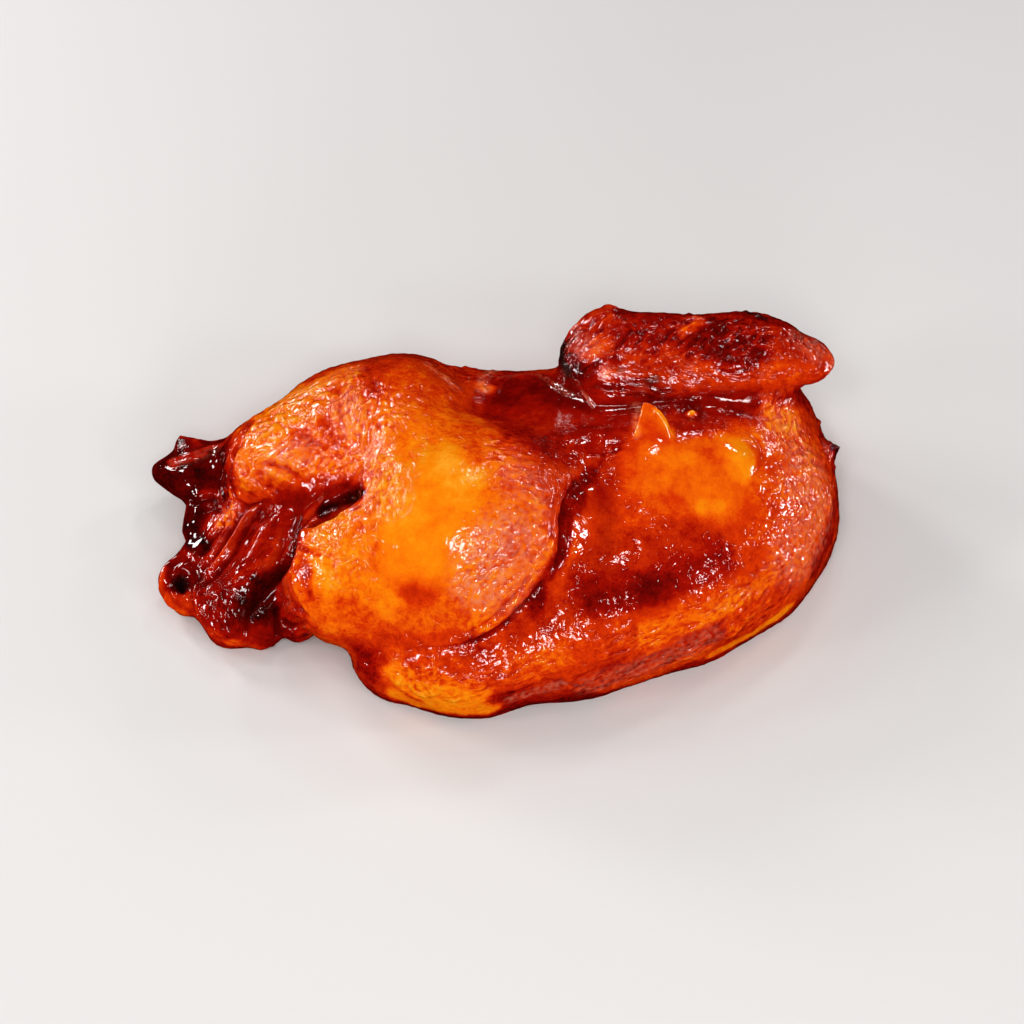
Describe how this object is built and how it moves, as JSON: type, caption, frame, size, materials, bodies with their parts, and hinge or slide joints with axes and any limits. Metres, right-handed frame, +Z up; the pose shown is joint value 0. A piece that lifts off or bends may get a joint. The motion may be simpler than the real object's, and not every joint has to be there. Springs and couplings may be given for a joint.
{
  "type": "half roast chicken",
  "caption": "Half of a roast chicken split lengthwise, skin side up, with thigh, wing, tail and leg end, flat on its cut side.",
  "frame": {"origin": "middle of the object's box in X and Y, on the plane of the flat cut side that it rests on", "axes": "+X from the tail to the neck end, +Y from the keel of the breast to the spine, +Z up out of the skin side"},
  "size_m": [0.239, 0.1364, 0.0672],
  "materials": {
    "roast_skin": "glossy browned skin"
  },
  "bodies": {
    "root": {"half_chicken": "roast_skin"}
  },
  "joints": []
}
